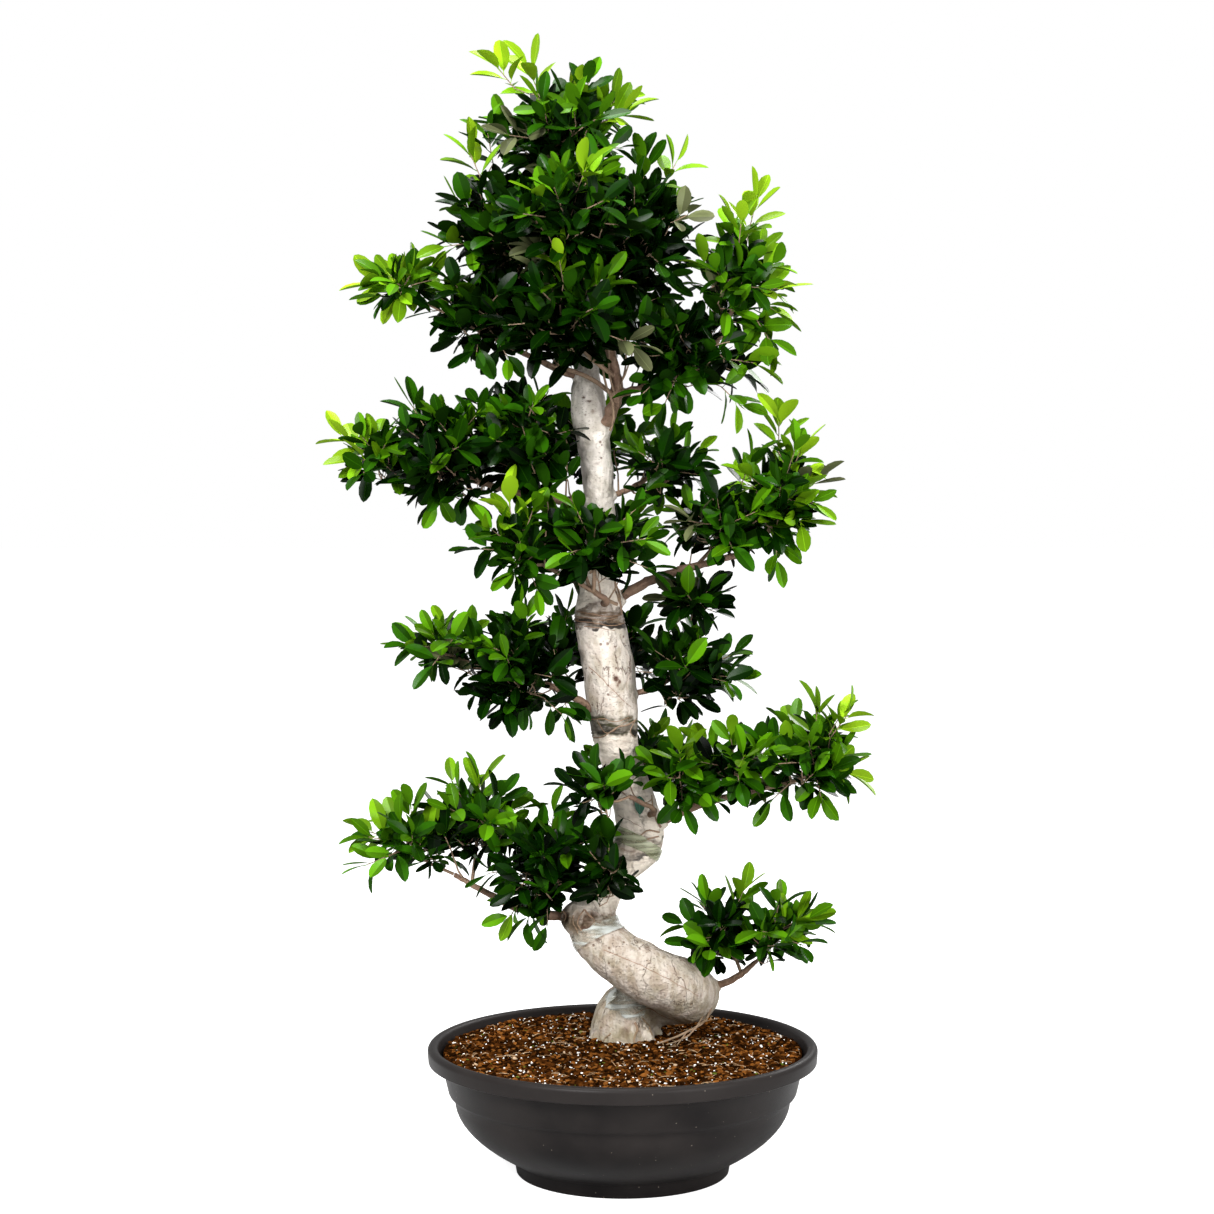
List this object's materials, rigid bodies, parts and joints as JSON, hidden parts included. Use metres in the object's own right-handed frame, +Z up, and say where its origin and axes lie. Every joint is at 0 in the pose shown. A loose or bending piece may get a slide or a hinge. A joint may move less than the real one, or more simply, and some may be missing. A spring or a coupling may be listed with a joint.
{
  "type": "spiral ficus topiary",
  "caption": "Ficus trained with an S-shaped pale trunk and tiers of glossy foliage up to a full crown, standing in a dark round bowl pot filled with potting mix.",
  "frame": {"origin": "middle of the pot's flat underside, on the surface that the pot stands on", "axes": "+Z up, +X to the right and -Y to the front, as the picture shows the plant"},
  "size_m": [0.8575, 0.6, 1.7383],
  "materials": {
    "pot_plastic": "dark charcoal moulded plastic, satin",
    "potting_mix": "moist peat and bark with perlite, rough",
    "bark": "pale cream bark with pores and brown spots",
    "young_bark": "pinkish brown bark",
    "clear_film": "cloudy clear plastic wrap",
    "leaf_green": "glossy green leaves"
  },
  "bodies": {
    "root": {"bough_crown_left": "young_bark", "bough_crown_right": "young_bark", "bough_fifth_left": "young_bark", "bough_fifth_right": "young_bark", "bough_fourth_front": "young_bark", "bough_fourth_right": "young_bark", "bough_low_left": "young_bark", "bough_low_right": "young_bark", "bough_second_front": "young_bark", "bough_second_right": "young_bark", "bough_third_left": "young_bark", "bough_third_right": "young_bark", "crown_back": "leaf_green", "crown_front": "leaf_green", "crown_left": "leaf_green", "crown_left_tip": "leaf_green", "crown_left_wing": "leaf_green", "crown_low_back": "leaf_green", "crown_low_front": "leaf_green", "crown_right": "leaf_green", "crown_right_tip": "leaf_green", "crown_right_wing": "leaf_green", "crown_top": "leaf_green", "foliage_fifth_back": "leaf_green", "foliage_fifth_left_inner": "leaf_green", "foliage_fifth_left_mid": "leaf_green", "foliage_fifth_left_tip": "leaf_green", "foliage_fifth_right": "leaf_green", "foliage_fourth_back": "leaf_green", "foliage_fourth_front": "leaf_green", "foliage_fourth_front_left": "leaf_green", "foliage_fourth_right_low": "leaf_green", "foliage_fourth_right_mid": "leaf_green", "foliage_fourth_right_tip": "leaf_green", "foliage_low_front": "leaf_green", "foliage_low_left_inner": "leaf_green", "foliage_low_left_tip": "leaf_green", "foliage_low_left_top": "leaf_green", "foliage_low_right_inner": "leaf_green", "foliage_low_right_outer": "leaf_green", "foliage_second_back": "leaf_green", "foliage_second_front": "leaf_green", "foliage_second_right_inner": "leaf_green", "foliage_second_right_mid": "leaf_green", "foliage_second_right_tip": "leaf_green", "foliage_third_back": "leaf_green", "foliage_third_left_inner": "leaf_green", "foliage_third_left_mid": "leaf_green", "foliage_third_left_tip": "leaf_green", "foliage_third_right": "leaf_green", "leader": "young_bark", "pot": "pot_plastic", "soil": "potting_mix", "trunk": "bark", "wrap_low": "clear_film", "wrap_mid": "clear_film"}
  },
  "joints": []
}
